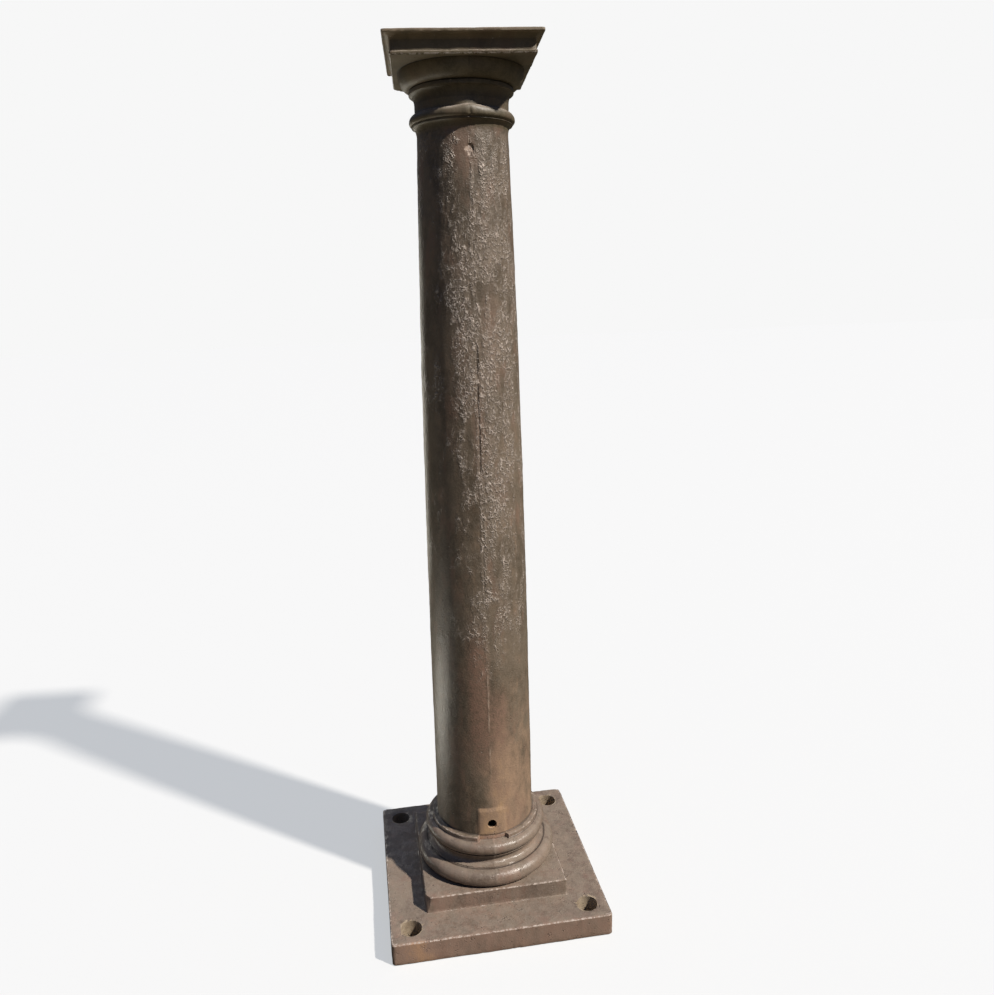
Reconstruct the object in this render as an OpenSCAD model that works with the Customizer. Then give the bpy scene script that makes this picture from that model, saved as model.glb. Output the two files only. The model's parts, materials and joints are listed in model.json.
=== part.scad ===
// Doric column of cast iron: base plate, plinth, moulded base, swelling
// shaft, ring, echinus and square abacus, all one casting.
// Millimetres, +Z up, origin at the middle of the plate's underside.
// The front, with the drilled pad, faces -Y.

/* [Base plate] */
// Side of the square plate that stands on the ground
plate_w = 520; // [440:5:620]
// Thickness of the plate
plate_t = 52; // [35:1:70]
// Radius of the plate's worn upright corners
plate_corner_r = 9; // [3:1:20]

/* [Anchor bolt holes] */
// Distance between hole centres, the same both ways
bolt_spacing = 422; // [400:2:430]
// Diameter of each hole
bolt_hole_d = 49; // [20:1:54]

/* [Plinth] */
// Side of the square plinth
plinth_w = 344; // [330:2:360]
// Height of the plinth
plinth_h = 39; // [25:1:60]

/* [Base mouldings] */
// Radius of the lower torus where it is widest
lower_torus_reach = 174; // [168:1:180]
// Height of the lower torus
lower_torus_h = 40; // [30:1:46]
// Height of the hollow between the tori, with its two fillets
scotia_h = 30; // [24:1:36]
// How deep the hollow is cut back from its lower fillet
scotia_depth = 13; // [6:1:16]
// Height of the upper torus
upper_torus_h = 30; // [24:1:36]
// Radius of the upper torus where it is widest
upper_torus_reach = 152; // [148:1:156]
// Radius of the flat band above the upper torus
band_r = 134; // [130:1:136]
// Height of the flat band
band_h = 10; // [6:1:14]

/* [Drilled pad] */
// Width of the pad, which is also the gap in the band
pad_w = 70; // [50:2:80]
// Height of the pad above the upper torus
pad_h = 81; // [60:1:100]
// Radius of the pad's face, which curves with the shaft
pad_reach = 123; // [122.5:0.5:126]
// Diameter of the hole in the pad
pad_hole_d = 22; // [12:1:30]
// Height of the hole's centre above the ground
pad_hole_z = 230; // [222:1:240]
// Depth of the hole, the thickness of the casting's wall
pad_hole_depth = 26; // [16:1:40]

/* [Shaft] */
// Radius at the foot
shaft_foot_r = 121; // [118:0.5:122]
// Radius under the ring
shaft_top_r = 102.5; // [98:0.5:106]
// Height above the ground where the shaft ends under the ring
shaft_top_z = 1844; // [1700:2:1900]
// How late the taper sets in: 1 is a straight cone, more swells the middle
shaft_swell = 2.6; // [1:0.1:4]

/* [Capital] */
// Radius of the ring where it is widest
ring_reach = 118.5; // [114:0.5:121]
// Radius of the neck above the ring
neck_r = 105; // [100:0.5:108]
// Radius of the small band under the echinus
annulet_r = 117; // [114:0.5:126]
// Radius of the rounded echinus where it meets the abacus
echinus_reach = 140; // [136:1:146]
// Half the side of the abacus's plain face
abacus_half = 150.5; // [149:0.5:154]
// Half the side of the abacus's top fillet
abacus_top_half = 166.5; // [160:0.5:176]
// Height of the abacus
abacus_h = 46; // [38:1:60]
// Turn of the abacus against the plate, clockwise from above
abacus_turn = 4.8; // [0:0.1:8]

/* [Hidden] */
$fn = 128;
iron = [0.27, 0.23, 0.20];
sink = 12;              // how far one member is carried into its neighbour

plinth_top = plate_t + plinth_h;
lower_torus_a = lower_torus_h / 2;
lower_torus_c = lower_torus_reach - lower_torus_a;
lower_torus_top = plinth_top + lower_torus_h;

fillet_h = 3;           // each small flat edge beside the hollow
lower_fillet_r = lower_torus_c - 6;
upper_fillet_in = 4;    // how far the upper one stands behind the lower
scotia_span = scotia_h - 2 * fillet_h;
scotia_end = acos(-upper_fillet_in / scotia_depth);
scotia_top = lower_torus_top + scotia_h;

upper_torus_a = upper_torus_h / 2;
upper_torus_c = upper_torus_reach - upper_torus_a;
upper_torus_top = scotia_top + upper_torus_h;
band_top = upper_torus_top + band_h;

ring_flare_h = 22;      // hollow flare under the ring
ring_fillet_h = 4;      // flat edge between the flare and the bead
ring_bead_h = 7;        // bead's curve from the fillet out to its widest
ring_bead_in = 5.5;     // how far the fillet stands in from the bead
ring_step_in = 2;       // how far the flare stops inside the fillet
ring_shoulder_h = 15;   // rounded top of the bead, up to the neck
ring_z = shaft_top_z + ring_flare_h;
ring_fillet_r = ring_reach - ring_bead_in;
ring_flare_r = ring_fillet_r - ring_step_in;
ring_widest_z = ring_z + ring_fillet_h + ring_bead_h;
ring_top = ring_widest_z + ring_shoulder_h;

neck_h = 20;
annulet_flare_h = 22;
annulet_h = 8;
quirk_h = 3;            // narrow groove under the echinus
quirk_depth = 3;
echinus_h = 34;
annulet_z = ring_top + neck_h + annulet_flare_h;
quirk_z = annulet_z + annulet_h;
echinus_z = quirk_z + quirk_h;
abacus_z = echinus_z + echinus_h + 2;
column_h = abacus_z + abacus_h;

abacus_fillet_h = 7;    // square edge at the very top
abacus_hollow = 12;     // hollow that joins it to the plain face

// Points on an arc about c from angle a0 to a1
function arc(c, r, a0, a1, steps) =
    [for (i = [0:steps]) c + r * [cos(a0 + (a1 - a0) * i / steps), sin(a0 + (a1 - a0) * i / steps)]];

// An arc squeezed to separate half-widths, for hollows that aren't round
function oval(c, rx, rz, a0, a1, steps) =
    [for (i = [0:steps]) let (a = a0 + (a1 - a0) * i / steps) c + [rx * cos(a), rz * sin(a)]];

// Radius of the shaft at a height
function shaft_r(z) =
    shaft_foot_r - (shaft_foot_r - shaft_top_r) * pow((z - band_top) / (shaft_top_z - band_top), shaft_swell);

// Half outline of the base, from inside the plinth to the band
function base_outline() = concat(
    [[0, plinth_top - sink], [lower_torus_c, plinth_top - sink]],
    arc([lower_torus_c, plinth_top + lower_torus_a], lower_torus_a, -90, 90, 14),
    [[lower_fillet_r, lower_torus_top]],
    oval([lower_fillet_r, lower_torus_top + fillet_h + scotia_span / 2],
         scotia_depth, scotia_span / 2, 270, scotia_end, 12),
    [[lower_fillet_r - upper_fillet_in, scotia_top]],
    arc([upper_torus_c, scotia_top + upper_torus_a], upper_torus_a, -90, 90, 12),
    [[0, upper_torus_top]]);

// Half outline of the shaft and the round part of the capital
function shaft_outline() = concat(
    [[0, upper_torus_top - sink], [shaft_foot_r, upper_torus_top - sink]],
    [for (i = [0:24]) let (z = band_top + (shaft_top_z - band_top) * i / 24) [shaft_r(z), z]],
    oval([ring_flare_r, shaft_top_z], ring_flare_r - shaft_top_r, ring_flare_h, 180, 90, 6),
    [[ring_fillet_r, ring_z]],
    oval([ring_fillet_r, ring_widest_z], ring_bead_in, ring_bead_h, -90, 0, 4),
    oval([neck_r, ring_widest_z], ring_reach - neck_r, ring_shoulder_h, 10, 90, 8),
    [[neck_r, ring_top + neck_h]],
    oval([annulet_r, ring_top + neck_h], annulet_r - neck_r, annulet_flare_h, 170, 90, 6),
    [[annulet_r, quirk_z], [annulet_r - quirk_depth, quirk_z], [annulet_r - quirk_depth, echinus_z]],
    oval([annulet_r, echinus_z + echinus_h], echinus_reach - annulet_r, echinus_h, -90, 0, 10),
    [[echinus_reach, abacus_z + sink], [0, abacus_z + sink]]);

// Outline of the abacus seen from any side, centred on its axis
function abacus_half_outline() = concat(
    [[abacus_half, abacus_z]],
    arc([abacus_half + abacus_hollow, column_h - abacus_fillet_h - abacus_hollow], abacus_hollow, 180, 90, 6),
    [[abacus_top_half, column_h - abacus_fillet_h], [abacus_top_half, column_h]]);

module rounded_square(side, r) {
    union() {
        square([side, side - 2 * r], center = true);
        square([side - 2 * r, side], center = true);
        for (x = [-1, 1], y = [-1, 1])
            translate([x * (side / 2 - r), y * (side / 2 - r)]) circle(r);
    }
}

module base_plate() {
    difference() {
        linear_extrude(plate_t) rounded_square(plate_w, plate_corner_r);
        for (x = [-1, 1], y = [-1, 1])
            translate([x * bolt_spacing / 2, y * bolt_spacing / 2, -1])
                cylinder(h = plate_t + 2, d = bolt_hole_d);
    }
}

module plinth() {
    translate([-plinth_w / 2, -plinth_w / 2, plate_t - sink])
        cube([plinth_w, plinth_w, plinth_h + sink]);
}

// The flat band, broken at the front by the pad
module band() {
    difference() {
        translate([0, 0, upper_torus_top - 1]) cylinder(h = band_h + 1, r = band_r);
        translate([-pad_w / 2, -band_r - 1, upper_torus_top])
            cube([pad_w, band_r + 1 - shaft_foot_r + 8, band_h + 1]);
    }
}

module pad() {
    translate([0, 0, upper_torus_top - 1])
        intersection() {
            cylinder(h = pad_h + 1, r = pad_reach);
            translate([-pad_w / 2, -pad_reach - 1, 0])
                cube([pad_w, pad_reach / 2, pad_h + 1]);
        }
}

module pad_hole() {
    translate([0, -pad_reach + pad_hole_depth, pad_hole_z])
        rotate([90, 0, 0]) cylinder(h = pad_hole_depth + 1, d = pad_hole_d);
}

// One side of the abacus's outline, run straight through
module abacus_run() {
    outline = abacus_half_outline();
    last = len(outline) - 1;
    rotate([90, 0, 0])
        linear_extrude(2 * abacus_top_half + 2, center = true)
            polygon(concat(outline, [for (i = [last:-1:0]) [-outline[i][0], outline[i][1]]]));
}

// Two runs crossed at right angles meet in mitred corners
module abacus() {
    rotate([0, 0, -abacus_turn])
        intersection() {
            abacus_run();
            rotate([0, 0, 90]) abacus_run();
        }
}

module column() {
    color(iron)
        difference() {
            union() {
                base_plate();
                plinth();
                rotate_extrude() polygon(base_outline());
                band();
                rotate_extrude() polygon(shaft_outline());
                pad();
                abacus();
            }
            pad_hole();
        }
}

column();
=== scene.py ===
import json
import math

import bpy
import numpy as np
from mathutils import Matrix, Vector, noise


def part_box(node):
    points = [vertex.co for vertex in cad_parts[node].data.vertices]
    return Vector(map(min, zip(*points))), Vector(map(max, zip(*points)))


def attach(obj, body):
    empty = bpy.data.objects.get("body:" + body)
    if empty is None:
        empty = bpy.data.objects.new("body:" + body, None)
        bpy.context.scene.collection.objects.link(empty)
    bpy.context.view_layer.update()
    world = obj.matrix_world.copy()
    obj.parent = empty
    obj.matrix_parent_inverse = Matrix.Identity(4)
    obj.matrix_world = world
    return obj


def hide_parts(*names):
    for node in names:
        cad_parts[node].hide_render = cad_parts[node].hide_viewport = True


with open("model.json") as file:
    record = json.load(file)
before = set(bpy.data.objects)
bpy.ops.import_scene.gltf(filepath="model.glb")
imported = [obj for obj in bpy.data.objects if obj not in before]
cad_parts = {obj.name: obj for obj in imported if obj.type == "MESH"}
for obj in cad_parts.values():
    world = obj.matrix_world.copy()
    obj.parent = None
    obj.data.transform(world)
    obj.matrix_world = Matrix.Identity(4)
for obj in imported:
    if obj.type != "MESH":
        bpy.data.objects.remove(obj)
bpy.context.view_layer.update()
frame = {"record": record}


# ---- Rings of the casting ----
# The column is a single iron casting, so it is one skin: level rings stacked from the underside
# to the top, each a circle or a square with rounded corners. Each member below adds its rings.
_, column_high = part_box("column")
rings = []


def ring(reach, height, corner=None, wear=0.0):
    """One ring. No corner makes it round. A mark of 1 rubs an arris bright, and -1 paints shade into a
    crease.
    """
    rings.append((reach, height, reach if corner is None else corner, wear))


def run(reach, height, steps, corner=None, wear=0.0):
    """Rings in a straight line from the last one, which may also turn a circle into a square."""
    start_reach, start_height, start_corner, _ = rings[-1]
    end_corner = reach if corner is None else corner
    for step in range(1, steps + 1):
        t = step / steps
        rings.append((
            start_reach + (reach - start_reach) * t,
            start_height + (height - start_height) * t,
            start_corner + (end_corner - start_corner) * t,
            wear if step == steps else 0.0,
        ))


def bend(reach, height, half_width, half_height, start, end, steps, corner=None, wear=0.0):
    """Rings along an arc about a centre, with angles in degrees from straight outwards."""
    for step in range(steps + 1):
        angle = math.radians(start + (end - start) * step / steps)
        out = reach + half_width * math.cos(angle)
        ring(out, height + half_height * math.sin(angle), corner, wear)


# ---- Base plate ----
# The square foot that stands on the ground, with a hole near each corner for a holding-down
# bolt. Rough cast iron, with knocked corners and arrises rubbed down to brighter metal.
anchor = next(m for m in frame["record"]["mounts"] if m["name"] == "anchor_bolts")
plate_half = column_high.x
plate_top = anchor["pos_m"][2]
bolt_reach = anchor["dims"]["spacing_x_mm"] / 2000
bolt_hole_r = anchor["dims"]["hole_r_mm"] / 1000
plate_corner = 0.009
plate_arris = 0.0022
bolt_rim_sink = 0.0022
bolt_rim_width = 0.006
pole_r = 0.012

ring(pole_r, 0)
run(plate_half - plate_arris, 0, 3, plate_corner)
bend(plate_half - plate_arris, plate_arris, plate_arris, plate_arris, -90, 0, 2, plate_corner, 0.6)
run(plate_half, plate_top - plate_arris, 6, plate_corner)
bend(plate_half - plate_arris, plate_top - plate_arris, plate_arris, plate_arris,
     0, 90, 3, plate_corner, 1)


# ---- Plinth ----
# The lower square block under the round mouldings. One front corner has been knocked off.
plinth_half = 0.172
plinth_top = 0.091
plinth_corner = 0.004
plinth_arris = 0.0025
plinth_foot = 0.003
plinth_break = (Vector((-plinth_half + 0.0085, -plinth_half + 0.002, plinth_top - 0.010)),
                Vector((-0.75, -0.62, 0.24)).normalized(), plate_top + 0.004)

run(plinth_half + plinth_foot, plate_top, 15, plinth_corner)
bend(plinth_half + plinth_foot, plate_top + plinth_foot, plinth_foot, plinth_foot,
     270, 180, 2, plinth_corner, 0.45)
run(plinth_half, plinth_top - plinth_arris, 6, plinth_corner)
bend(plinth_half - plinth_arris, plinth_top - plinth_arris, plinth_arris, plinth_arris,
     0, 90, 3, plinth_corner, 1)


# ---- Base mouldings ----
# A fat roll, a hollow between two small edges, and a smaller roll with a flat band on it, all
# turned on the pattern. Satin where hands and boots have rubbed the rolls.
lower_roll_r = 0.154
lower_roll_half = 0.020
hollow_foot_r = 0.148
hollow_top_r = 0.144
hollow_depth = 0.013
hollow_half = 0.012
small_edge = 0.003
upper_roll_r = 0.137
upper_roll_half = 0.015
band_r = 0.134
band_h = 0.010
band_arris = 0.0016
lower_roll_top = plinth_top + 2 * lower_roll_half
hollow_mid = lower_roll_top + small_edge + hollow_half
hollow_top = lower_roll_top + 2 * small_edge + 2 * hollow_half
upper_roll_top = hollow_top + 2 * upper_roll_half
band_top = upper_roll_top + band_h

# The marks below 0 in the creases between these members paint shade into them.
run(lower_roll_r, plinth_top, 9, wear=-1)
# The roll's mark rubs it pale, partly wear and partly a painted highlight.
bend(lower_roll_r, plinth_top + lower_roll_half, lower_roll_half, lower_roll_half, -84, 84, 15,
     wear=0.30)
ring(hollow_foot_r + 0.003, lower_roll_top, wear=-1)
ring(hollow_foot_r, lower_roll_top + 0.0006, wear=-0.4)
ring(hollow_foot_r, lower_roll_top + small_edge, wear=0.7)
bend(hollow_foot_r, hollow_mid, hollow_depth, hollow_half, 262, 112, 10)
ring(hollow_top_r, hollow_top - small_edge, wear=0.7)
ring(hollow_top_r, hollow_top - 0.0006, wear=-0.4)
ring(hollow_top_r - 0.003, hollow_top, wear=-1)
# The roll's mark rubs it pale, partly wear and partly a painted highlight.
bend(upper_roll_r, hollow_top + upper_roll_half, upper_roll_half, upper_roll_half, -78, 80, 12,
     wear=0.36)
ring(band_r + 0.001, upper_roll_top, wear=-0.8)
ring(band_r, upper_roll_top + 0.001, wear=-0.3)
run(band_r, band_top - band_arris, 2, wear=0.8)
bend(band_r - band_arris, band_top - band_arris, band_arris, band_arris, 0, 90, 2, wear=0.9)


# ---- Shaft ----
# The round trunk, straight below and tapering faster towards the top. Two half moulds met along
# its front and back, and left a line that wanders, as a ridge in one place and a crack in another.
shaft_foot_r = 0.121
shaft_top_r = 0.1025
shaft_top = 1.844
shaft_swell = 2.6
scale_out = 0.00085
seam_half_width = 0.0024
seam_full_out = 0.0013
ridge_middle = 0.53
ridge_out = 0.0010
rolls_ridge_out = 0.0007
back_ridge_out = 0.0005
crack_middle = 1.25
crack_in = 0.0014
hairline_foot = 0.75
hairline_in = 0.0005
pit_height = 1.803
pit_depth = 0.0037
pit_half_width = 0.0104
pit_half_height = 0.0126
# How pale the pit's floor is painted, partly bare metal and partly a painted highlight.
pit_floor_highlight = 0.88


def ramp(value, start, width):
    """0 at the start and 1 a width further on, or a width below it where the width is negative."""
    return min(1.0, max(0.0, (value - start) / width))


def hump(value, middle, spread, power=2):
    """1 in the middle, dying away past the spread, with steeper sides at a higher power."""
    return math.exp(-(((value - middle) / spread) ** power))


def shaft_radius(height):
    """Radius of the shaft at a height above the ground."""
    share = max(0.0, (height - band_top) / (shaft_top - band_top))
    return shaft_foot_r - (shaft_foot_r - shaft_top_r) * share ** shaft_swell


def shaft_rings(end_height, spacing):
    """Rings up the shaft from the last one."""
    start_height = rings[-1][1]
    steps = max(1, round((end_height - start_height) / spacing))
    for step in range(1, steps + 1):
        height = start_height + (end_height - start_height) * step / steps
        ring(shaft_radius(height), height)


# The marks below 0 paint shade into the crease at the shaft's foot.
run(shaft_foot_r + 0.002, band_top, 2, wear=-0.7)
ring(shaft_foot_r, band_top + 0.0015, wear=-0.7)
shaft_rings(0.292, 0.0045)
shaft_rings(0.34, 0.0075)
shaft_rings(1.77, 0.0095)
shaft_rings(1.824, 0.0035)
shaft_rings(shaft_top, 0.005)


def seam_line(height, back):
    """Where the mould line crosses a height, and how far it stands out there, in metres."""
    side = 7.0 if back else 0.0
    wander = 0.0034 * noise.noise(Vector((side, 0.0, height * 6)))
    wander += 0.0014 * noise.noise(Vector((side, 3.0, height * 38)))
    broken = 0.62 + 1.0 * noise.noise(Vector((side, 9.0, height * 21)))
    broken += 0.55 * noise.noise(Vector((side, 5.0, height * 80)))
    broken = max(0.0, broken)
    if back:
        return wander, back_ridge_out * broken
    crack = hump(height, crack_middle, 0.15, 4)
    stands = ridge_out * hump(height, ridge_middle, 0.17, 4) - crack_in * crack
    if height < upper_roll_top:
        stands += rolls_ridge_out
    if height > hairline_foot:
        stands -= hairline_in * (1 - crack)
    return wander, stands * broken


def seam_relief(point):
    """Height of the mould line's ridge, or minus the depth of its crack, at a point."""
    back = point.y > 0
    wander, stands = seam_line(point.z, back)
    across = (point.x - wander) / seam_half_width
    return stands * math.exp(-across * across)


def top_pit(point):
    """Depth of the drop-shaped blow hole near the top of the seam."""
    if point.y > 0:
        return 0.0
    down = (pit_height - point.z) / pit_half_height
    narrow = pit_half_width * (1.0 - 0.55 * ramp(down, 0.0, 1.0) ** 1.2)
    across = (point.x + 0.001 + 0.001 * down) / narrow
    inside = across * across + down * down
    if inside > 1.0:
        return 0.0
    slope = 0.5 + 0.5 * (across * 0.75 - down * 0.65)
    return pit_depth * min(1.0, (1.0 - inside) * 4.0) * max(0.1, slope)


# ---- Drilled pad ----
# A thick patch cast on the front of the foot, where the band stops short on both sides. A hole
# drilled through it into the hollow of the column drains it, and weeps rust.
pad_half = 0.035
pad_r = 0.123
pad_top = 0.272
pad_hole = next(o for o in frame["record"]["physics"]["openings"] if o["name"] == "pad_hole")
pad_hole_height = (pad_hole["box_m"][0][2] + pad_hole["box_m"][1][2]) / 2
pad_hole_r = 0.011
pad_hole_depth = 0.026


def pad_reach(reach, height, across):
    """The radius there, moved to the face of the pad where the pad is."""
    if across > pad_half or not upper_roll_top - 0.0005 <= height <= pad_top:
        return reach
    rough_top = pad_top - 0.004 + 0.004 * noise.noise(Vector((across * 60, 0.0, 2.0)))
    if height > rough_top:
        return max(reach, pad_r - 0.002)
    return pad_r


# ---- Ring ----
# The rounded bead on top of the shaft, over a hollow flare. Its seam shows as a notch, with a
# lump of spare metal where it meets the neck.
flare_r = 0.111
flare_top = 1.866
ring_edge_r = 0.113
ring_edge_top = 1.870
ring_reach = 0.1185
ring_widest = 1.877
ring_top = 1.892
neck_r = 0.105
lump_out = 0.0042
notch_in = 0.0026

bend(flare_r, shaft_top, flare_r - shaft_top_r, flare_top - shaft_top, 172, 90, 6)
# The marks below 0 paint shade into the crease under the ring.
ring(flare_r, flare_top + 0.0002, wear=-1)
ring(ring_edge_r, flare_top + 0.0006, wear=-0.6)
ring(ring_edge_r, ring_edge_top)
bend(ring_edge_r, ring_widest, ring_reach - ring_edge_r, ring_widest - ring_edge_top, -70, 0, 4)
bend(neck_r, ring_widest, ring_reach - neck_r, ring_top - ring_widest, 15, 80, 6)


def ring_lump(point):
    """Height of the lump and depth of the notch where the seam crosses the ring."""
    if point.y > 0 or not 1.85 < point.z < 1.915:
        return 0.0
    lump = hump(point.x, 0.0, 0.024) * hump(point.z, ring_top + 0.002, 0.011)
    notch = hump(point.x, 0.002, 0.0032) * hump(point.z, ring_widest - 0.001, 0.006)
    return lump_out * lump - notch_in * notch


# ---- Neck and echinus ----
# A plain neck, a hollow flare to a small band, a narrow groove, and the rounded cushion that
# carries the abacus. Its finish is darker, a painted shade over the capital.
neck_top = 1.912
annulet_r = 0.117
annulet_foot = 1.934
annulet_top = 1.942
groove_depth = 0.003
groove_top = 1.945
echinus_r = 0.140
echinus_top = 1.979
abacus_foot = 1.981

# The marks below 0 on the ring's top, the neck and its flare paint shade over them, darkening the neck.
ring(neck_r + 0.0006, ring_top, wear=-0.8)
ring(neck_r, ring_top + 0.001, wear=-0.4)
run(neck_r, neck_top, 4, wear=-0.5)
bend(annulet_r, neck_top, annulet_r - neck_r, annulet_foot - neck_top, 165, 92, 6, wear=-0.45)
ring(annulet_r, annulet_foot + 0.0006, wear=0.3)
run(annulet_r, annulet_top, 2, wear=0.5)
# The groove's marks of -1 paint shade into it.
ring(annulet_r - groove_depth, annulet_top + 0.0005, wear=-1)
ring(annulet_r - groove_depth, groove_top - 0.0005, wear=-1)
bend(annulet_r, echinus_top, echinus_r - annulet_r, echinus_top - groove_top, -88, 0, 11)


# ---- Abacus ----
# The square block at the top, a plain face with a hollow and a square edge above it, sitting a
# few degrees askew on the pattern. The low lip along its foot is chipped back to bright metal, and
# its pale rubbed colour is partly a painted highlight.
abacus_half = 0.1505
abacus_lip = 0.002
abacus_lip_h = 0.0078
abacus_hollow = 0.012
abacus_top_half = 0.1665
abacus_fillet = 0.007
abacus_corner = 0.0045
abacus_arris = 0.0022
abacus_turn = math.radians(4.8)
column_top = column_high.z
back_break = (Vector((-0.128, 0.158, abacus_foot + 0.003)),
              Vector((-0.45, 0.55, -0.70)).normalized(), echinus_top)

# The marks below 0 paint shade into the creases under the abacus and under its lip.
ring(echinus_r, abacus_foot - 0.0006, wear=-1)
lip_reach = abacus_half + abacus_lip
run(lip_reach - abacus_arris, abacus_foot, 8, abacus_corner)
# The lip's marks of 1 and 0.6 rub it pale, partly chipped metal and partly a painted highlight.
bend(lip_reach - abacus_arris, abacus_foot + abacus_arris, abacus_arris, abacus_arris,
     -90, 0, 3, abacus_corner, 1)
run(lip_reach, abacus_foot + abacus_lip_h - 0.001, 3, abacus_corner, 0.6)
ring(abacus_half, abacus_foot + abacus_lip_h, abacus_corner, -0.4)
hollow_foot = column_top - abacus_fillet - abacus_hollow
run(abacus_half, hollow_foot, 4, abacus_corner)
bend(abacus_half + abacus_hollow, hollow_foot, abacus_hollow, abacus_hollow,
     170, 90, 6, abacus_corner, 0.3)
run(abacus_top_half - abacus_arris, column_top - abacus_fillet, 1, abacus_corner)
bend(abacus_top_half - abacus_arris, column_top - abacus_fillet + 0.001, abacus_arris, 0.001,
     -90, 0, 2, abacus_corner, 0.1)
bend(abacus_top_half - abacus_arris, column_top - abacus_arris, abacus_arris, abacus_arris,
     0, 90, 3, abacus_corner, 0.15)
run(pole_r, column_top, 8)


def turn_at(height):
    """How far the rings are turned at a height, in radians. The turn grows over the neck."""
    share = ramp(height, ring_top, groove_top - ring_top)
    return abacus_turn * share * share * (3 - 2 * share)


# ---- The casting as one skin ----
# Grey iron poured in one piece in a sand mould, so every face waves a little, the arrises are
# rounded, and age has chipped them. Columns of points stand closer at the seams and corners.
corner_wear = 0.55
# The plinth's left arrises are barely rubbed, a painted shade on that side.
plinth_left_shaded_wear = 0.3


def steps_to(start, end, count):
    """Angles after start, up to end, in equal steps."""
    return [start + (end - start) * step / count for step in range(1, count + 1)]


# Angles from the front in degrees, each with how many columns lead up to it from the last
pad_angle = math.degrees(math.asin(pad_half / pad_r))
stops = [(6, 8), (pad_angle - 1.7, 5), (pad_angle + 0.3, 1), (43.7, 13), (46.3, 6), (133.7, 32),
         (136.3, 6), (175, 16), (180, 4)]
half_turn = [0.0]
for stop, count in stops:
    half_turn += steps_to(half_turn[-1], stop, count)
round_angles = np.radians([-angle for angle in reversed(half_turn[1:-1])] + half_turn)
gaps = np.diff(np.append(round_angles, round_angles[0] + 2 * math.pi))
square_angles = np.stack([round_angles, round_angles + gaps / 2], axis=1).ravel()


def outline(reach, corner, angles):
    """Distance from the axis to the edge of a square with rounded corners, or of a circle."""
    wide = np.maximum(abs(np.cos(angles)), abs(np.sin(angles)))
    narrow = np.minimum(abs(np.cos(angles)), abs(np.sin(angles)))
    inner = reach - corner
    both = inner * (wide + narrow)
    in_corner = both + np.sqrt(np.maximum(both ** 2 + corner ** 2 - 2 * inner ** 2, 0.0))
    return np.where(reach / wide * narrow <= inner, reach / wide, in_corner)


points = []
wear_shade_and_highlight_values = []
starts = []
for reach, height, corner, wear in rings:
    angles = round_angles if corner > reach - 1e-6 else square_angles
    starts.append((len(points), len(angles)))
    turn = turn_at(height)
    for angle, out in zip(angles, outline(reach, corner, angles)):
        across = abs(out * math.sin(angle)) if math.cos(angle) > 0 else 1.0
        out = pad_reach(out, height, across)
        points.append((out * math.sin(angle - turn), -out * math.cos(angle - turn), height))
        in_corner = out * min(abs(math.sin(angle)), abs(math.cos(angle))) > reach - 1.3 * corner
        # The mark carried here rubs an arris bright, and below 0 paints shade into a crease.
        rubbed = max(wear, corner_wear) if in_corner and corner < 0.1 * reach else wear
        # On the plinth's left side the rub is held low, a painted shade.
        on_plinth = plate_top < height < plinth_top + 0.001
        if on_plinth and points[-1][0] < -plinth_half + 0.007:
            rubbed = min(rubbed, plinth_left_shaded_wear)
        wear_shade_and_highlight_values.append(rubbed)

faces = []
for (low, low_count), (high, high_count) in zip(starts, starts[1:]):
    for step in range(low_count if low_count <= high_count else high_count):
        if low_count == high_count:
            after = (step + 1) % low_count
            faces.append((low + step, low + after, high + after, high + step))
        elif low_count < high_count:
            after = low + (step + 1) % low_count
            middle = high + 2 * step + 1
            last = high + (2 * step + 2) % high_count
            faces.append((low + step, middle, high + 2 * step))
            faces.append((low + step, after, middle))
            faces.append((after, last, middle))
        else:
            after = high + (step + 1) % high_count
            middle = low + 2 * step + 1
            last = low + (2 * step + 2) % low_count
            faces.append((low + 2 * step, middle, high + step))
            faces.append((middle, after, high + step))
            faces.append((middle, last, after))
for (first, count), top in ((starts[0], False), (starts[-1], True)):
    centre = len(points)
    points.append((0.0, 0.0, column_top if top else 0.0))
    wear_shade_and_highlight_values.append(0.0)
    for step in range(count):
        here, after = first + step, first + (step + 1) % count
        faces.append((here, after, centre) if top else (after, here, centre))

skin = bpy.data.meshes.new("column")
skin.from_pydata(points, [], faces)
skin.update()


def casting_waves(point):
    """How far the sand mould left the surface out of true."""
    broad = noise.fractal(point * 11, 1.0, 2.0, 3) * 0.0007
    fine = noise.fractal(point * 70 + Vector((3, 7, 1)), 0.8, 2.0, 3) * 0.00028
    return broad + fine


def flaking_and_lit_side_at(point):
    """How thickly old paint in flakes covers a place: high on the shaft, and most by the seam. It is
    thicker on the lit right side and thinner on the shaded left, a painted light and shade.
    """
    x, y, z = point
    if not band_top <= z <= shaft_top:
        return 0.10
    if top_pit(point) > 0:
        return 0.0
    up = 0.65 * ramp(z, 0.52, 0.22) + 0.35 * ramp(z, 0.8, 0.4)
    under_ring = ramp(z, 1.846, -0.03)
    high = ramp(z, 1.3, 0.2)
    side = 0.46 * hump(x, 0.0, 0.0065) + 0.36 * hump(x, 0.027, 0.010)
    side += 0.26 * hump(x, -0.034, 0.014) * ramp(z, 1.0, 0.5)
    # These terms paint light and shade: more flakes, which show paler, towards the lit right side and
    # fewer on the shaded left.
    side += 0.20 * (1 - high) * ramp(x, -0.048, 0.015)
    side += 0.20 * high * ramp(x, 0.0, 0.05)
    side -= 0.20 * ramp(x, -0.058, -0.02)
    side = 0.34 + side * ramp(y, 0.0, -0.05)
    tall = Vector((x, y, z * 0.4))
    crowd = noise.fractal(tall * 26, 0.7, 2.1, 4) * 0.66 + noise.noise(tall * 120) * 0.3
    return min(1.0, max(0.0, side + crowd)) * up * (0.3 + 0.7 * under_ring)


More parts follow.
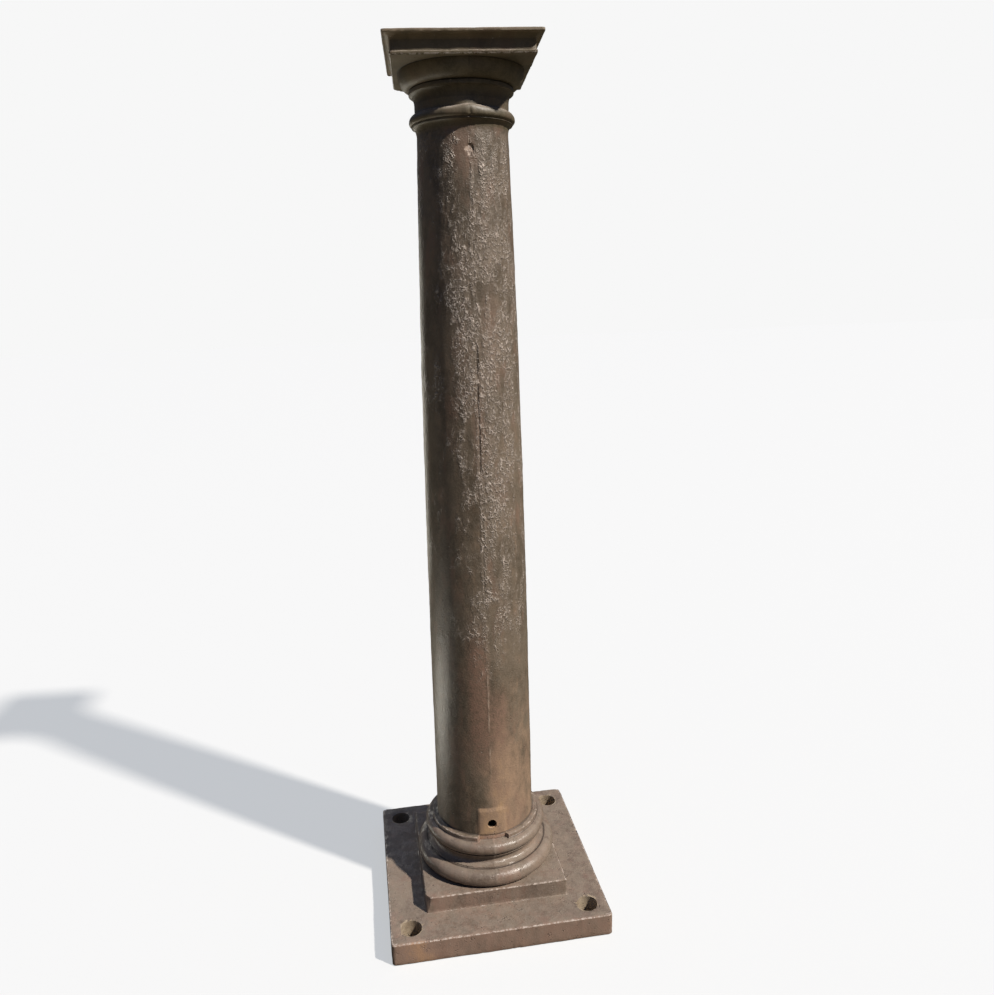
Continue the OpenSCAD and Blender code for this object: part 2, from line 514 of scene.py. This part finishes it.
def scale_lumps(point, flaking):
    """How far the scale of old paint stands out, in small plates with gaps."""
    plate = noise.noise(Vector((point.x, point.y, point.z * 0.7)) * 105 + Vector((4, 2, 9)))
    return scale_out * flaking * max(0.0, min(1.0, plate * 2.6 + 0.45))


def knocked_arris(point, wear):
    """How far rubbing and knocks have cut an arris back."""
    if wear <= 0:
        return 0.0
    rub = 0.0006 + 0.0006 * noise.noise(point * 32)
    knock = max(0.0, noise.noise(point * 46 + Vector((11, 5, 2))) - 0.36) * 0.009
    nick = max(0.0, noise.noise(point * 130 + Vector((1, 8, 6))) - 0.3) * 0.003
    return (max(0.0, rub) + knock + nick) * wear


def broken_back(point):
    """The point moved in to a rough break, where a corner has been knocked off."""
    for on_break, out_of_break, lowest in (plinth_break, back_break):
        if (point - on_break).length < 0.05 and point.z > lowest:
            proud = (point - on_break).dot(out_of_break) + 0.0016 * noise.noise(point * 170)
            point = point - out_of_break * max(0.0, proud)
    return point


def bolt_rim(point):
    """How far the plate's face sinks in the worn rim of a bolt hole."""
    if abs(point.z - plate_top) > 0.002:
        return 0.0
    away = math.hypot(abs(point.x) - bolt_reach, abs(point.y) - bolt_reach) - bolt_hole_r
    return bolt_rim_sink * max(0.0, 1.0 - max(0.0, away) / bolt_rim_width) ** 2


moved = []
for vertex, wear in zip(skin.vertices, wear_shade_and_highlight_values):
    point = vertex.co
    if point.z < 0.0005:
        moved.append(point.copy())
        continue
    out = casting_waves(point) - knocked_arris(point, wear)
    if point.z < 0.35 or point.z > ring_top:
        out *= 0.9
    if plinth_top < point.z < shaft_top:
        out += seam_relief(point) - top_pit(point)
        out += scale_lumps(point, flaking_and_lit_side_at(point))
    out += ring_lump(point) - bolt_rim(point)
    moved.append(broken_back(point + vertex.normal * out))
    # The pit's floor is painted pale with the rubbed colour, partly bare metal and partly a painted
    # highlight.
    if band_top < point.z < shaft_top and top_pit(point) > 0:
        wear_shade_and_highlight_values[vertex.index] = pit_floor_highlight
for vertex, point in zip(skin.vertices, moved):
    vertex.co = point

wear_shade_and_highlight_layer = skin.attributes.new("wear", "FLOAT", "POINT")
wear_shade_and_highlight_layer.data.foreach_set("value", np.array(wear_shade_and_highlight_values, np.float32))


def rust_at(point):
    """How much rust runs over a place: by the drain hole, low on the front, and on the base."""
    x, y, z = point
    front = ramp(y, 0.018, -0.06)
    drain = 1.05 * hump(x, 0.0, 0.040) * hump(z, pad_hole_height - 0.008, 0.030) * front
    weep = 1.3 * hump(x, -0.001, 0.010) * hump(z, pad_hole_height - 0.018, 0.008) * front
    gold = 0.84 * hump(max(z, 0.28), 0.28, 0.29) * front
    gold *= ramp(x, -pad_half, 0.004) if z < pad_top else ramp(x, -0.042, 0.06)
    gold *= 1 - 0.3 * ramp(x, 0.04, 0.04)
    gold = gold if z > upper_roll_top and math.hypot(x, y) < pad_r + 0.003 else 0.0
    thin = 0.24 if band_top < z < shaft_top else 0.0
    stained = 0.30 if z < band_top else 0.0
    edge = 0.9 if z > column_top - abacus_fillet - 0.010 else 0.0
    face = 0.62 if y < -plate_half + 0.004 and z < plate_top else 0.0
    patch = 0.35 * hump(x, -0.2, 0.05) if face else 0.0
    block = 0.45 if plate_top < z < plinth_top + 0.004 and y < -plinth_half + 0.02 and x < 0 else 0.0
    back = 0.4 * hump(z, 0.35, 0.3) * (1 - front)
    return min(1.3, max(drain, weep, gold, thin, stained, edge, face + patch, block, back))


def redness_at(point):
    """How red the skin is: in patches beside the seam, on the front of the shaft."""
    x, y, z = point
    if y > 0 or not band_top < z < shaft_top:
        return 0.0
    left = hump(x, -0.022, 0.024, 4) * hump(z, 0.55, 0.17, 4)
    right = 0.7 * hump(x, 0.024, 0.022, 4) * hump(z, 0.49, 0.08, 4)
    crack = 0.7 * hump(x, 0.0, 0.012) * hump(z, 1.20, 0.12, 4)
    flush = 0.5 * hump(x, 0.034, 0.020) * hump(z, 1.40, 0.10, 4)
    return left + right + crack + flush


for name, worth in (("rust", rust_at), ("flaking", flaking_and_lit_side_at), ("redness", redness_at)):
    layer = skin.attributes.new(name, "FLOAT", "POINT")
    layer.data.foreach_set("value", np.array([worth(point) for point in moved], np.float32))
seam_layer = skin.attributes.new("seam", "FLOAT", "POINT")
seam_heights = [seam_relief(point) / seam_full_out if point.z > plinth_top else 0.0
                for point in moved]
seam_layer.data.foreach_set("value", np.array(seam_heights, np.float32))

column = bpy.data.objects.new("column_casting", skin)
bpy.context.scene.collection.objects.link(column)


# ---- Holes ----
# Four bolt holes cored through the plate, rough and rusted inside with a worn rim, and one hole
# drilled into the pad. They are cut out of the skin last.
def rough_bore(radius, start, end, flare, seed):
    """A rough rod along Z to cut a hole with, a little wider at its upper end."""
    sides = 56
    levels = [start + (end - start) * step / 9 for step in range(10)] + [end + flare]
    rod_points = []
    for height in levels:
        for side in range(sides):
            angle = 2 * math.pi * side / sides
            spot = Vector((math.cos(angle) * radius, math.sin(angle) * radius, height + seed))
            out = radius + 0.0007 * noise.noise(spot * 60) + 0.0004 * noise.noise(spot * 190)
            out += max(0.0, height - end) * 0.6
            rod_points.append((out * math.cos(angle), out * math.sin(angle), height))
    rod_faces = []
    for level in range(len(levels) - 1):
        for side in range(sides):
            here, after = level * sides + side, level * sides + (side + 1) % sides
            rod_faces.append((here, after, after + sides, here + sides))
    rod_faces.append(tuple(reversed(range(sides))))
    rod_faces.append(tuple(range((len(levels) - 1) * sides, len(levels) * sides)))
    rod = bpy.data.meshes.new("rod")
    rod.from_pydata(rod_points, [], rod_faces)
    made = bpy.data.objects.new("rod", rod)
    bpy.context.scene.collection.objects.link(made)
    return made


rods = []
for index, (side_x, side_y) in enumerate(((-1, -1), (1, -1), (-1, 1), (1, 1))):
    rod = rough_bore(bolt_hole_r, -0.004, plate_top - 0.001, 0.012, index * 2.0)
    rod.location = (side_x * bolt_reach, side_y * bolt_reach, 0)
    rods.append(rod)
drill = rough_bore(pad_hole_r, -pad_hole_depth, -0.0005, 0.01, 9.0)
drill.location = (0, -pad_r, pad_hole_height)
drill.rotation_euler = (math.radians(90), 0, 0)
rods.append(drill)
for rod in rods:
    cut = column.modifiers.new("hole", "BOOLEAN")
    cut.operation = "DIFFERENCE"
    cut.solver = "EXACT"
    cut.object = rod
bpy.context.view_layer.update()
cut_mesh = bpy.data.meshes.new_from_object(column.evaluated_get(bpy.context.evaluated_depsgraph_get()))
column.modifiers.clear()
column.data = cut_mesh
cut_mesh.name = "column"
for rod in rods:
    bpy.data.objects.remove(rod)
rust_values = cut_mesh.attributes["rust"].data
for vertex in cut_mesh.vertices:
    if math.hypot(vertex.co.x, vertex.co.z - pad_hole_height) < pad_hole_r + 0.0005 and vertex.co.y < 0:
        rust_values[vertex.index].value = 1.0
cut_mesh.shade_smooth()
cut_mesh.set_sharp_from_angle(angle=math.radians(42))


# ---- Iron finishes ----
# One casting with three outer finishes: dusty brown iron low down, flaking grey-brown skin on the
# shaft, and iron painted darker as shade in the capital. Raw rust lines the bolt holes, and the
# drain is painted near black as shade.
def add(tree, kind, inputs=None, **settings):
    """A shader node with its settings, and its inputs given as plain values or as sockets."""
    made = tree.nodes.new(kind)
    for setting, value in settings.items():
        setattr(made, setting, value)
    for name, value in (inputs or {}).items():
        if isinstance(value, bpy.types.NodeSocket):
            tree.links.new(value, made.inputs[name])
        else:
            made.inputs[name].default_value = value
    return made


def maths(tree, operation, first, second=0.0):
    """The result of a sum on two values or sockets."""
    return add(tree, "ShaderNodeMath", {0: first, 1: second}, operation=operation).outputs[0]


def between(tree, value, low, high):
    """0 below low, 1 above high, and a smooth step between them."""
    return add(tree, "ShaderNodeMapRange", {"Value": value, "From Min": low, "From Max": high},
               interpolation_type="SMOOTHSTEP").outputs["Result"]


def cloud(tree, where, scale, detail=3.0, roughness=0.55):
    """A soft random value from 0 to 1."""
    return add(tree, "ShaderNodeTexNoise", {"Vector": where, "Scale": scale, "Detail": detail,
                                            "Roughness": roughness}).outputs["Fac"]


def tinted(tree, mask, first, second):
    """The first colour, turning into the second where the mask is 1."""
    made = add(tree, "ShaderNodeMix", {0: mask, 6: first, 7: second}, data_type="RGBA")
    return made.outputs[2]


def own_place(tree, scale=(1, 1, 1)):
    """The place on the object in metres, stretched by a scale."""
    place = tree.nodes.new("ShaderNodeTexCoord").outputs["Object"]
    return add(tree, "ShaderNodeVectorMath", {0: place, 1: scale}, operation="MULTIPLY").outputs[0]


def effect(name, inputs, outputs):
    """An empty node group with plain number inputs and outputs."""
    group = bpy.data.node_groups.new(name, "ShaderNodeTree")
    for socket, value in inputs.items():
        made = group.interface.new_socket(socket, in_out="INPUT", socket_type="NodeSocketFloat")
        made.default_value = value
    for socket in outputs:
        group.interface.new_socket(socket, in_out="OUTPUT", socket_type="NodeSocketFloat")
    return group, group.nodes.new("NodeGroupInput").outputs, group.nodes.new("NodeGroupOutput").inputs


def give(tree, value, socket):
    """Feed a value into a socket."""
    tree.links.new(value, socket)


# Sand-cast grain: fine roughness, and broad darker and lighter places
grain, given, result = effect("casting grain", {"Fineness": 320.0},
                               ("Grain", "Tone", "Blush"))
place = own_place(grain)
fine = cloud(grain, place, given["Fineness"], 4, 0.65)
coarse = cloud(grain, place, 75, 3, 0.6)
give(grain, maths(grain, "ADD", maths(grain, "MULTIPLY", fine, 0.6),
                  maths(grain, "MULTIPLY", coarse, 0.4)), result["Grain"])
blotch = cloud(grain, own_place(grain, (1, 1, 0.55)), 9, 6, 0.68)
give(grain, between(grain, blotch, 0.38, 0.62), result["Tone"])
stain = cloud(grain, own_place(grain, (1.3, 1.3, 0.5)), 17, 5, 0.62)
give(grain, between(grain, stain, 0.50, 0.68), result["Blush"])

# Rust pits, in loose crowds
pitting, given, result = effect("rust pits", {"Fineness": 190.0, "Crowding": 0.5}, ("Pits",))
place = own_place(pitting)
cells = add(pitting, "ShaderNodeTexVoronoi", {"Vector": place, "Scale": given["Fineness"]})
dot = between(pitting, cells.outputs["Distance"], 0.42, 0.16)
crowd = cloud(pitting, place, 42, 4, 0.65)
edge = maths(pitting, "SUBTRACT", 0.78, maths(pitting, "MULTIPLY", given["Crowding"], 0.45))
gate = between(pitting, crowd, edge, maths(pitting, "ADD", edge, 0.08))
give(pitting, maths(pitting, "MULTIPLY", dot, gate), result["Pits"])

# Old paint and rust scale that lifts in worm-like curls, as thick as the flaking mask says
scaling, given, result = effect("flaking scale", {"Fineness": 96.0, "Cover": 1.0},
                                ("Curls", "Patch"))
place = own_place(scaling, (1, 1, 0.72))
push = add(scaling, "ShaderNodeTexNoise", {"Vector": place, "Scale": 55.0, "Detail": 2.0})
shift = add(scaling, "ShaderNodeVectorMath", {0: push.outputs["Color"], 1: (0.016, 0.016, 0.016)},
            operation="MULTIPLY").outputs[0]
bent = add(scaling, "ShaderNodeVectorMath", {0: place, 1: shift}, operation="ADD").outputs[0]
curls = None
for finer, width in ((1.0, 0.080), (1.7, 0.085)):
    level_set = cloud(scaling, bent, maths(scaling, "MULTIPLY", given["Fineness"], finer), 1.5, 0.5)
    off = maths(scaling, "ABSOLUTE", maths(scaling, "SUBTRACT", level_set, 0.5))
    curl = between(scaling, off, width, 0.0)
    curls = curl if curls is None else maths(scaling, "MAXIMUM", curls, curl)
mask = add(scaling, "ShaderNodeAttribute", attribute_name="flaking").outputs["Fac"]
ragged = maths(scaling, "SUBTRACT", cloud(scaling, own_place(scaling, (1, 1, 0.6)), 90, 4, 0.7), 0.5)
patch = maths(scaling, "ADD", maths(scaling, "MULTIPLY", mask, given["Cover"]), ragged)
patch = between(scaling, patch, 0.18, 0.80)
lifted = between(scaling, cloud(scaling, place, 130, 3, 0.65), 0.44, 0.60)
lifted = maths(scaling, "ADD", maths(scaling, "MULTIPLY", lifted, 0.9), 0.1)
curls = maths(scaling, "MULTIPLY", curls, lifted)
give(scaling, maths(scaling, "MULTIPLY", curls, patch), result["Curls"])
give(scaling, patch, result["Patch"])

# Orange and red rust, where the rust mask says, broken up into blooms and runs
blooming, given, result = effect("rust bloom", {"Amount": 1.0}, ("Bloom", "Bright"))
mask = add(blooming, "ShaderNodeAttribute", attribute_name="rust").outputs["Fac"]
mask = maths(blooming, "MULTIPLY", mask, given["Amount"])
runs = cloud(blooming, own_place(blooming, (1, 1, 0.5)), 34, 6, 0.7)
loose = maths(blooming, "MULTIPLY", maths(blooming, "SUBTRACT", runs, 0.5), 2.4)
whole = maths(blooming, "ADD", mask, maths(blooming, "MULTIPLY", loose, 0.5))
give(blooming, between(blooming, whole, 0.18, 0.85), result["Bloom"])
give(blooming, between(blooming, whole, 0.72, 1.15), result["Bright"])

# Arrises rubbed to bright metal in broken lines, and painted shade darkening the creases
rubbing_and_shading, given, result = effect("rubbed arris", {"Reach": 0.5}, ("Rubbed", "Grime"))
mask = add(rubbing_and_shading, "ShaderNodeAttribute", attribute_name="wear").outputs["Fac"]
broken = cloud(rubbing_and_shading, own_place(rubbing_and_shading), 120, 4, 0.7)
reached = maths(rubbing_and_shading, "ADD", mask, maths(rubbing_and_shading, "MULTIPLY",
                maths(rubbing_and_shading, "SUBTRACT", broken, 0.52), 3.2))
limit = maths(rubbing_and_shading, "SUBTRACT", 1.15, maths(rubbing_and_shading, "MULTIPLY", given["Reach"], 0.6))
give(rubbing_and_shading, between(rubbing_and_shading, reached, limit, maths(rubbing_and_shading, "ADD", limit, 0.35)), result["Rubbed"])
# Painted shade: marks below 0 darken the creases.
give(rubbing_and_shading, between(rubbing_and_shading, maths(rubbing_and_shading, "MULTIPLY", mask, -1.0), 0.15, 1.0), result["Grime"])

# Dust that settles on what faces up
dusting, given, result = effect("settled dust", {"Amount": 0.6}, ("Dust",))
facing = dusting.nodes.new("ShaderNodeTexCoord").outputs["Normal"]
upward = add(dusting, "ShaderNodeSeparateXYZ", {"Vector": facing}).outputs["Z"]
lying = between(dusting, upward, 0.25, 0.95)
loose = between(dusting, cloud(dusting, own_place(dusting), 48, 6, 0.72), 0.3, 0.62)
give(dusting, maths(dusting, "MULTIPLY", maths(dusting, "MULTIPLY", lying, loose), given["Amount"]),
     result["Dust"])

# The mould line: a pale ridge or a dark crack
seaming, given, result = effect("mould line", {"Amount": 1.0}, ("Ridge", "Crack"))
mask = add(seaming, "ShaderNodeAttribute", attribute_name="seam").outputs["Fac"]
mask = maths(seaming, "MULTIPLY", mask, given["Amount"])
give(seaming, between(seaming, mask, 0.12, 0.75), result["Ridge"])
give(seaming, between(seaming, maths(seaming, "MULTIPLY", mask, -1.0), 0.12, 0.6), result["Crack"])


def placed(tree, group, inputs):
    """A group placed in a material with its own values."""
    made = tree.nodes.new("ShaderNodeGroup")
    made.node_tree = group
    for name, value in inputs.items():
        made.inputs[name].default_value = value
    return made.outputs


def iron_finish(name, colours, amounts):
    """Rusty cast iron, painted from its darkest tone to its rubbed arrises."""
    material = bpy.data.materials.new(name)
    material.use_nodes = True
    tree = material.node_tree
    tree.nodes.clear()
    colours = {part: (*colour, 1) for part, colour in colours.items()}
    cast = placed(tree, grain, {"Fineness": amounts["grain"]})
    pits = placed(tree, pitting, {"Fineness": 230.0, "Crowding": amounts["pits"]})
    scale = placed(tree, scaling, {"Fineness": 96.0, "Cover": amounts["scale"]})
    rust = placed(tree, blooming, {"Amount": amounts["rust"]})
    arris = placed(tree, rubbing_and_shading, {"Reach": amounts["rub"]})
    dust = placed(tree, dusting, {"Amount": amounts["dust"]})
    line = placed(tree, seaming, {"Amount": 1.0})
    speckle = between(tree, cast["Grain"], 0.42, 0.62)
    redness = add(tree, "ShaderNodeAttribute", attribute_name="redness").outputs["Fac"]
    redness = maths(tree, "MULTIPLY", redness, maths(tree, "ADD", speckle, 0.45))
    redness = maths(tree, "MAXIMUM", redness, maths(tree, "MULTIPLY", cast["Blush"], 0.5))
    layers = (
        (maths(tree, "MULTIPLY", speckle, 0.4), "light"),
        (rust["Bloom"], "rust"),
        (maths(tree, "MINIMUM", redness, 0.9), "blush"),
        (rust["Bright"], "orange"),
        (dust["Dust"], "dust"),
        # Paler patches where flakes are thick, which includes painted light on the lit side.
        (maths(tree, "MULTIPLY", scale["Patch"], 0.5), "light"),
        # The curls' pale colour is partly flaked paint and partly painted glints.
        (maths(tree, "MULTIPLY", scale["Curls"], 0.9), "curl"),
        (maths(tree, "MULTIPLY", pits["Pits"], 0.6), "pit"),
        (maths(tree, "MULTIPLY", line["Ridge"], 0.7), "bare"),
        (maths(tree, "MULTIPLY", line["Crack"], 0.55), "pit"),
        # Crease marks are painted shade, darkened towards the pit colour.
        (arris["Grime"], "pit"),
        # The rubbed colour is bare metal, and partly a painted highlight on the rolls, the abacus lip
        # and the pit's floor.
        (arris["Rubbed"], "bare"),
    )
    skin_tone = tinted(tree, cast["Tone"], colours["dark"], colours["middle"])
    for mask, part in layers:
        skin_tone = tinted(tree, mask, skin_tone, colours[part])
    relief = maths(tree, "MULTIPLY", cast["Grain"], 0.55)
    relief = maths(tree, "SUBTRACT", relief, maths(tree, "MULTIPLY", pits["Pits"], 0.5))
    relief = maths(tree, "ADD", relief, maths(tree, "MULTIPLY", scale["Curls"], 0.95))
    relief = maths(tree, "ADD", relief, maths(tree, "MULTIPLY", scale["Patch"], 0.25))
    relief = maths(tree, "SUBTRACT", relief, maths(tree, "MULTIPLY", line["Crack"], 0.5))
    bump = add(tree, "ShaderNodeBump", {"Height": relief, "Strength": 1.0,
                                        "Distance": amounts["relief"]})
    rough = maths(tree, "ADD", maths(tree, "MULTIPLY", cast["Grain"], 0.35), amounts["matt"])
    thick_dust = between(tree, dust["Dust"], 0.2, 0.32)
    rough = maths(tree, "ADD", rough, maths(tree, "MULTIPLY", thick_dust, 0.45))
    rough = maths(tree, "ADD", rough, maths(tree, "MULTIPLY", rust["Bloom"], 0.12))
    rough = maths(tree, "SUBTRACT", rough, maths(tree, "MULTIPLY", arris["Rubbed"], 0.15))
    shader = add(tree, "ShaderNodeBsdfPrincipled", {"Base Color": skin_tone, "Roughness": rough,
                                                    "Normal": bump.outputs["Normal"]})
    add(tree, "ShaderNodeOutputMaterial", {"Surface": shader.outputs["BSDF"]})
    return material


base_iron = iron_finish(
    "dusty brown iron",
    {"dark": (0.112, 0.082, 0.062), "middle": (0.180, 0.139, 0.106), "light": (0.250, 0.203, 0.166),
     "blush": (0.195, 0.118, 0.088), "rust": (0.258, 0.172, 0.132), "orange": (0.350, 0.215, 0.135),
     "dust": (0.205, 0.168, 0.128), "curl": (0.370, 0.310, 0.262), "pit": (0.045, 0.032, 0.024),
     "bare": (0.390, 0.325, 0.280)},
    {"grain": 300.0, "pits": 0.52, "scale": 1.6, "rust": 1.0, "rub": 0.64, "dust": 0.4,
     "relief": 0.0016, "matt": 0.15})
shaft_iron = iron_finish(
    "flaking shaft iron",
    {"dark": (0.072, 0.056, 0.039), "middle": (0.134, 0.105, 0.076), "light": (0.186, 0.151, 0.117),
     "blush": (0.205, 0.125, 0.091), "rust": (0.275, 0.185, 0.125), "orange": (0.370, 0.240, 0.140),
     "dust": (0.240, 0.195, 0.150), "curl": (0.520, 0.440, 0.385), "pit": (0.028, 0.020, 0.014),
     "bare": (0.390, 0.300, 0.240)},
    {"grain": 260.0, "pits": 0.35, "scale": 1.0, "rust": 1.0, "rub": 0.75, "dust": 0.3,
     "relief": 0.0026, "matt": 0.24})
# The capital's colours are darker than the shaft's, a painted shade.
shaded_capital_iron = iron_finish(
    "dark capital iron",
    {"dark": (0.060, 0.049, 0.029), "middle": (0.132, 0.106, 0.067), "light": (0.165, 0.136, 0.096),
     "blush": (0.120, 0.078, 0.050), "rust": (0.205, 0.155, 0.105), "orange": (0.240, 0.160, 0.095),
     "dust": (0.330, 0.285, 0.250), "curl": (0.330, 0.280, 0.230), "pit": (0.020, 0.016, 0.011),
     "bare": (0.420, 0.370, 0.330)},
    {"grain": 300.0, "pits": 0.4, "scale": 1.0, "rust": 0.6, "rub": 0.75, "dust": 0.8,
     "relief": 0.0010, "matt": 0.34})
hole_rust = iron_finish(
    "raw rust in the holes",
    {"dark": (0.200, 0.150, 0.100), "middle": (0.320, 0.255, 0.180), "light": (0.400, 0.330, 0.245),
     "blush": (0.240, 0.160, 0.100), "rust": (0.230, 0.130, 0.075), "orange": (0.300, 0.160, 0.080),
     "dust": (0.300, 0.240, 0.175), "curl": (0.400, 0.330, 0.260), "pit": (0.060, 0.040, 0.025),
     "bare": (0.450, 0.380, 0.300)},
    {"grain": 240.0, "pits": 0.55, "scale": 0.4, "rust": 0.4, "rub": 0.0, "dust": 0.2,
     "relief": 0.0016, "matt": 0.5})
# The drain hole is painted near black, a painted shade for its dark inside.
drain_painted_shade = iron_finish(
    "wet soot in the drain",
    {"dark": (0.010, 0.008, 0.006), "middle": (0.022, 0.017, 0.012), "light": (0.035, 0.026, 0.018),
     "blush": (0.030, 0.018, 0.012), "rust": (0.060, 0.030, 0.015), "orange": (0.120, 0.055, 0.022),
     "dust": (0.040, 0.030, 0.020), "curl": (0.050, 0.040, 0.030), "pit": (0.006, 0.005, 0.004),
     "bare": (0.080, 0.060, 0.045)},
    {"grain": 240.0, "pits": 0.5, "scale": 0.0, "rust": 0.2, "rub": 0.0, "dust": 0.1,
     "relief": 0.0016, "matt": 0.5})

finishes = [base_iron, shaft_iron, shaded_capital_iron, hole_rust, drain_painted_shade]
cut_mesh.materials.clear()
for material in finishes:
    cut_mesh.materials.append(material)


def finish_of(centre):
    """The finish of a face, by where its centre is."""
    from_bolt = math.hypot(abs(centre.x) - bolt_reach, abs(centre.y) - bolt_reach)
    if from_bolt < bolt_hole_r + 0.0015 and 0.0001 < centre.z < plate_top - 0.001:
        return hole_rust
    from_drill = math.hypot(centre.x, centre.z - pad_hole_height)
    if from_drill < pad_hole_r + 0.0005 and -pad_r + 0.0065 < centre.y < 0:
        return drain_painted_shade
    if centre.z < band_top - 0.0001:
        return base_iron
    return shaft_iron if centre.z < shaft_top + 0.006 else shaded_capital_iron


chosen = [finishes.index(finish_of(face.center)) for face in cut_mesh.polygons]
cut_mesh.polygons.foreach_set("material_index", chosen)
cut_mesh.update()

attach(column, "root")
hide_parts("column")


# ---- Studio ----
# A pale matt floor, one key lamp high on the right in front, a dim sky and two soft lamps on the
# left, one of them lying on the ground. The camera stands at eye height a little left of the front
# and looks slightly down.
floor_mesh = bpy.data.meshes.new("floor")
floor_half = 30.0
floor_mesh.from_pydata(
    [(-floor_half, -floor_half, -0.0005), (floor_half, -floor_half, -0.0005),
     (floor_half, floor_half, -0.0005), (-floor_half, floor_half, -0.0005)], [], [(0, 1, 2, 3)])
floor = bpy.data.objects.new("floor", floor_mesh)
bpy.context.scene.collection.objects.link(floor)
floor_paint = bpy.data.materials.new("pale floor")
floor_paint.use_nodes = True
floor_shader = floor_paint.node_tree.nodes["Principled BSDF"]
floor_seen = floor_paint.node_tree.nodes.new("ShaderNodeLightPath").outputs["Is Camera Ray"]
floor_tone = tinted(floor_paint.node_tree, floor_seen, (0.098, 0.083, 0.050, 1), (0.30, 0.30, 0.30, 1))
give(floor_paint.node_tree, floor_tone, floor_shader.inputs["Base Color"])
floor_glow = tinted(floor_paint.node_tree, floor_seen, (0, 0, 0, 1), (0.511, 0.522, 0.525, 1))
give(floor_paint.node_tree, floor_glow, floor_shader.inputs["Emission Color"])
floor_shader.inputs["Emission Strength"].default_value = 1.0
floor_shader.inputs["Roughness"].default_value = 0.9
floor_mesh.materials.append(floor_paint)

world = bpy.data.worlds.new("studio")
world.use_nodes = True
bpy.context.scene.world = world
sky = world.node_tree.nodes["Background"]
sky_way = world.node_tree.nodes.new("ShaderNodeTexCoord").outputs["Generated"]
sky_rise = add(world.node_tree, "ShaderNodeSeparateXYZ", {"Vector": sky_way}).outputs["Z"]
sky_light = tinted(world.node_tree, between(world.node_tree, sky_rise, 0.0, 0.75),
                   (0.033, 0.033, 0.026, 1), (0.120, 0.160, 0.275, 1))
sky_seen = world.node_tree.nodes.new("ShaderNodeLightPath").outputs["Is Camera Ray"]
give(world.node_tree, tinted(world.node_tree, sky_seen, sky_light, (0.93, 0.93, 0.93, 1)),
     sky.inputs["Color"])

key_turn = math.radians(52)
key_height = math.radians(46)
key_light = bpy.data.lights.new("key", "SUN")
key_light.energy = 5.6
key_light.angle = math.radians(2.4)
key_light.color = (1.0, 0.94, 0.86)
key = bpy.data.objects.new("key", key_light)
bpy.context.scene.collection.objects.link(key)
key_from = Vector((math.sin(key_turn) * math.cos(key_height),
                   -math.cos(key_turn) * math.cos(key_height), math.sin(key_height)))
key.rotation_euler = key_from.to_track_quat("Z", "Y").to_euler()

lit_pieces = bpy.data.collections.new("lit by the soft lamps")
lit_pieces.objects.link(column)


def soft_lamp(name, place, aim, size, spread, energy):
    """A wide soft lamp that shines on the column only, past the floor, and isn't seen itself."""
    light = bpy.data.lights.new(name, "AREA")
    light.shape = "RECTANGLE"
    light.size, light.size_y = size
    light.energy = energy
    light.color = (1.0, 0.96, 0.84)
    light.spread = math.radians(spread)
    lamp = bpy.data.objects.new(name, light)
    bpy.context.scene.collection.objects.link(lamp)
    lamp.location = place
    lamp.rotation_euler = (Vector(place) - Vector(aim)).to_track_quat("Z", "Y").to_euler()
    lamp.visible_camera = False
    lamp.light_linking.receiver_collection = lit_pieces
    lamp.light_linking.blocker_collection = lit_pieces


soft_lamp("left edge", (-0.75, 1.9, 0.95), (0, 0, 0.9), (0.5, 1.7), 180, 8.0)
soft_lamp("ground glow", (-0.92, 0.40, 0.02), (-0.92, 0.40, 1.0), (0.4, 0.6), 180, 8.0)

camera_place = Vector((-0.2673, -1.9185, 1.4871))
camera_turn = 0.1491
camera_tip = -0.1718
camera_roll = -0.0314
forward = Vector((math.sin(camera_turn) * math.cos(camera_tip),
                  math.cos(camera_turn) * math.cos(camera_tip), math.sin(camera_tip)))
level_right = Vector((math.cos(camera_turn), -math.sin(camera_turn), 0))
level_up = level_right.cross(forward)
right = math.cos(camera_roll) * level_right + math.sin(camera_roll) * level_up
up = math.cos(camera_roll) * level_up - math.sin(camera_roll) * level_right
camera_data = bpy.data.cameras.new("camera")
camera_data.sensor_width = 36
camera_data.lens = 29.80
camera_data.shift_x = 0.01574
camera_data.shift_y = -0.05516
camera = bpy.data.objects.new("camera", camera_data)
bpy.context.scene.collection.objects.link(camera)
stance = Matrix((right, up, -forward)).transposed().to_4x4()
stance.translation = camera_place
camera.matrix_world = stance
bpy.context.scene.camera = camera
bpy.context.scene.view_settings.view_transform = "Standard"

bpy.context.view_layer.update()
